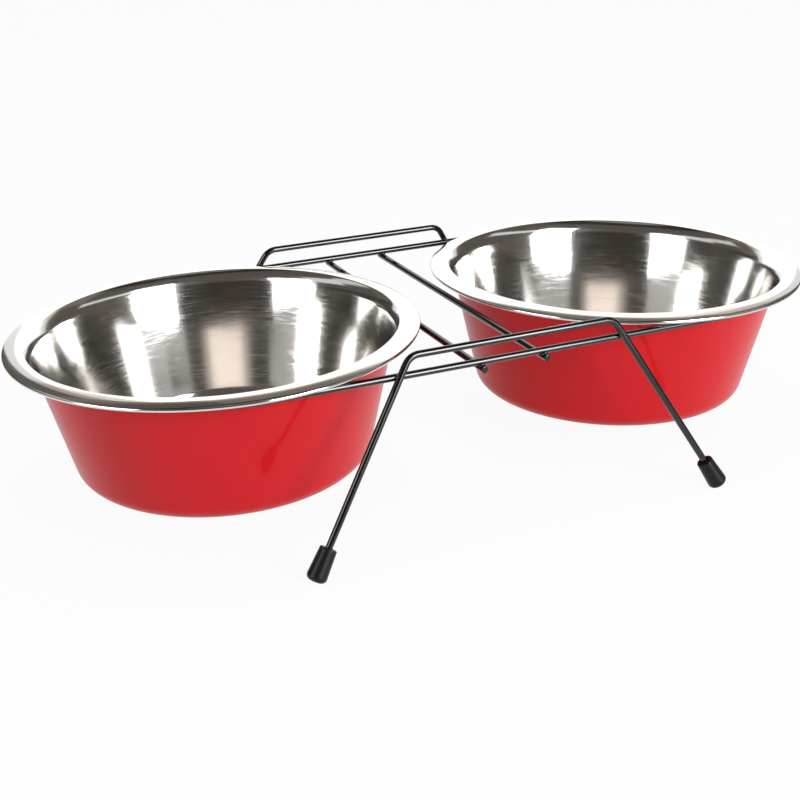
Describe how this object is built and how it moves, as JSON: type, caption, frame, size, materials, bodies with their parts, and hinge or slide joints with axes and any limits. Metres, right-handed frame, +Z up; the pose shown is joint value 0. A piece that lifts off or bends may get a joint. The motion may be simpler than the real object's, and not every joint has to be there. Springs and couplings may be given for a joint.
{
  "type": "double pet bowl",
  "caption": "Raised pet feeder: round steel bowls with rolled rims hang side by side in a welded wire stand on splayed legs with rubber tips.",
  "frame": {"origin": "on the floor, midway between the two bowls", "axes": "+X to the right along the row of bowls, +Y to the back, +Z up"},
  "size_m": [0.4478, 0.2436, 0.0978],
  "materials": {
    "bowl_steel": "satin brushed inside, polished rim; the outside carries a glossy red lacquer",
    "bowl_lacquer": "glossy red lacquer on the outside of the bowls",
    "coated_wire": "glossy black coat on steel wire",
    "rubber": "satin dark grey rubber"
  },
  "bodies": {
    "stand": {"support_loop": "coated_wire", "front_leg_frame": "coated_wire", "back_leg_frame": "coated_wire", "left_crossbar": "coated_wire", "right_crossbar": "coated_wire", "foot_front_left": "rubber", "foot_front_right": "rubber", "foot_back_left": "rubber", "foot_back_right": "rubber"},
    "left_bowl": {"left_bowl": "bowl_steel"},
    "right_bowl": {"right_bowl": "bowl_steel"}
  },
  "joints": [
    {"name": "left_bowl_lift", "type": "slide", "parent": "stand", "child": "left_bowl", "axis": [0, 0, 1], "range_m": [0, 0.1]},
    {"name": "right_bowl_lift", "type": "slide", "parent": "stand", "child": "right_bowl", "axis": [0, 0, 1], "range_m": [0, 0.1]}
  ]
}
